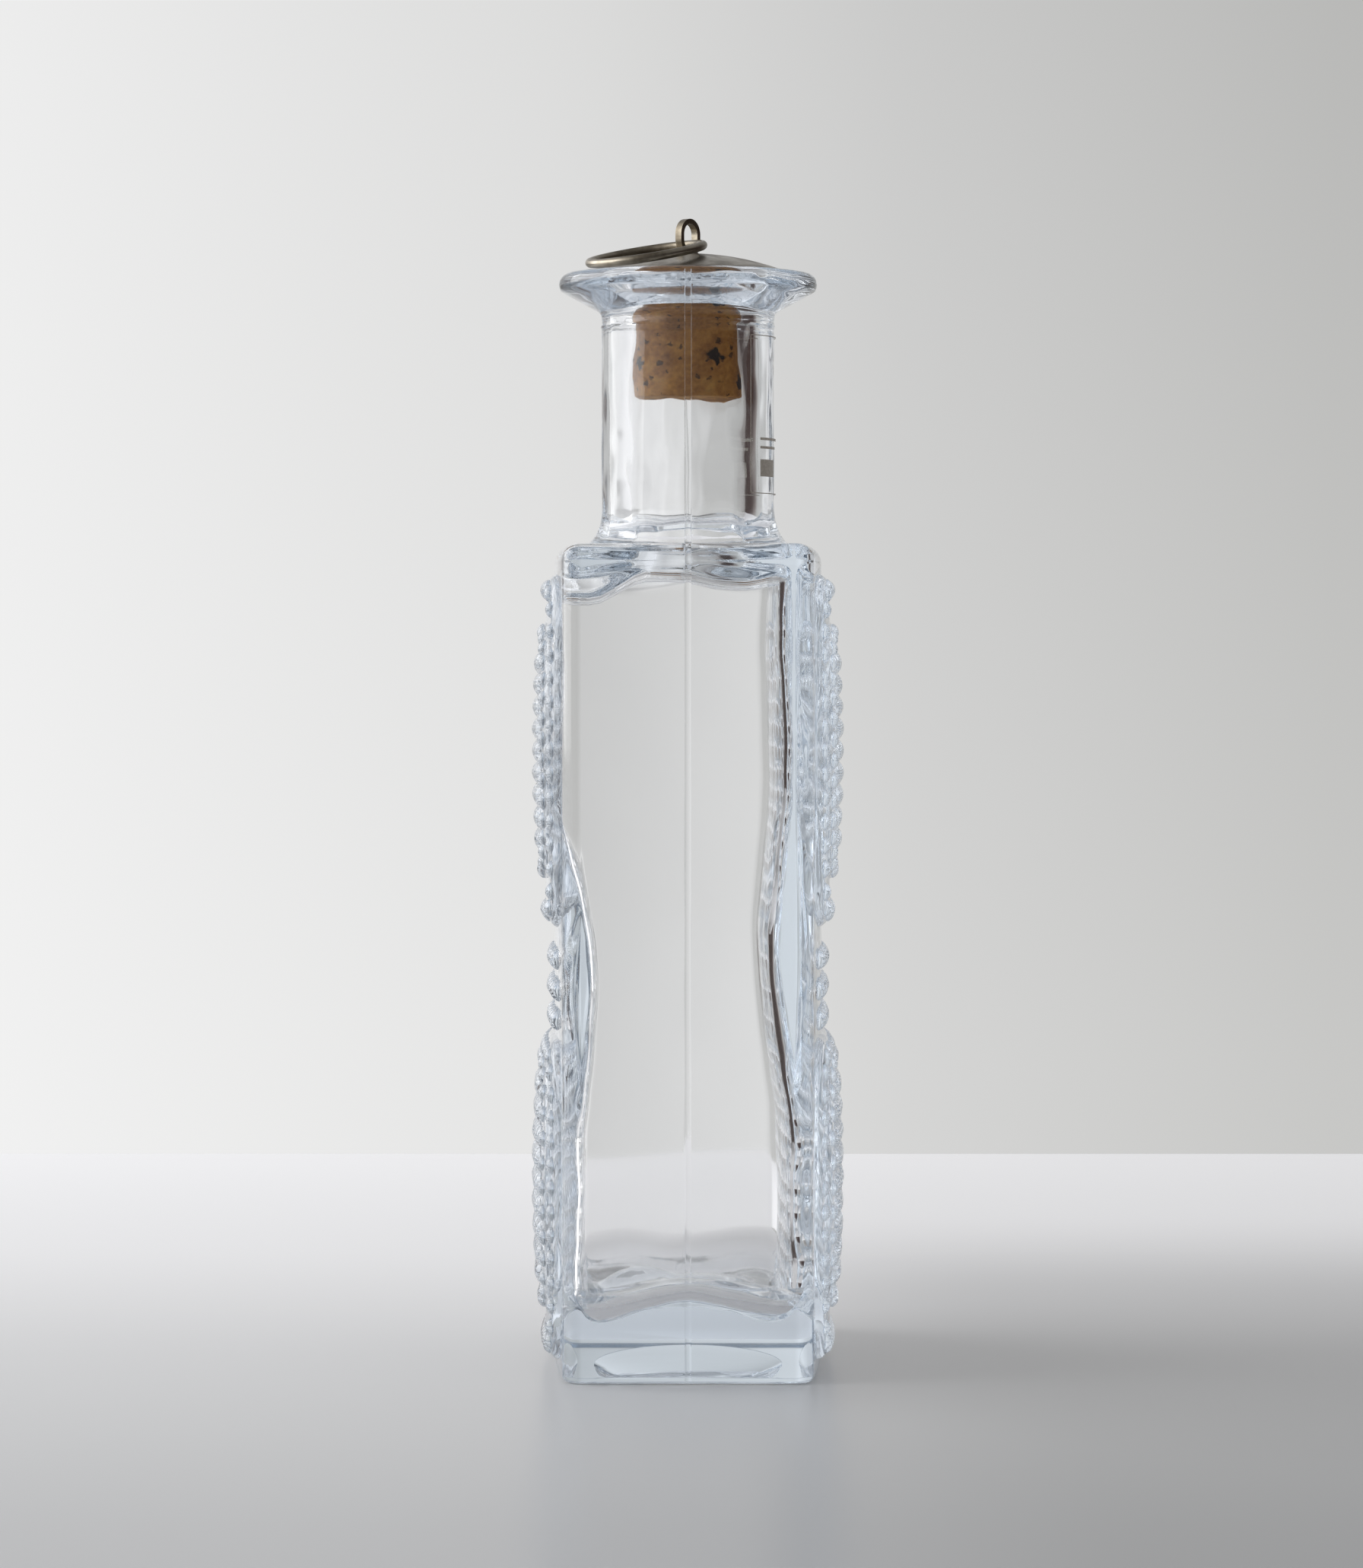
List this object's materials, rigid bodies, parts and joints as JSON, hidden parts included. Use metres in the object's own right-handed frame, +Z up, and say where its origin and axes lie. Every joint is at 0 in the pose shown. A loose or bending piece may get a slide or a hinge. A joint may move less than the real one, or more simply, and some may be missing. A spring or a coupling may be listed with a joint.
{
  "type": "glass decanter",
  "caption": "Clear glass decanter with beaded raised panels, thick base and flared lip, closed by a cork under a domed metal cap with a hinged pull ring.",
  "frame": {"origin": "middle of the foot, on the surface that the decanter stands on", "axes": "+Z up through the neck, +X out of a wide ornamented face, +Y out of a narrow plain face"},
  "size_m": [0.071, 0.11, 0.2679],
  "materials": {
    "glass": "clear, fire polished",
    "cork": "natural cork, matt with dark pits",
    "aged_metal": "satin, aged to an olive grey brown"
  },
  "bodies": {
    "decanter": {"bottle": "glass", "cork": "cork", "cap": "aged_metal", "eye": "aged_metal"},
    "pull_ring": {"ring": "aged_metal"}
  },
  "joints": [
    {"name": "ring_swing", "type": "hinge", "parent": "decanter", "child": "pull_ring", "pos_m": [0, 0, 0.26185], "axis": [-0.6691, 0.7431, 0], "range_deg": [0, 204]}
  ]
}
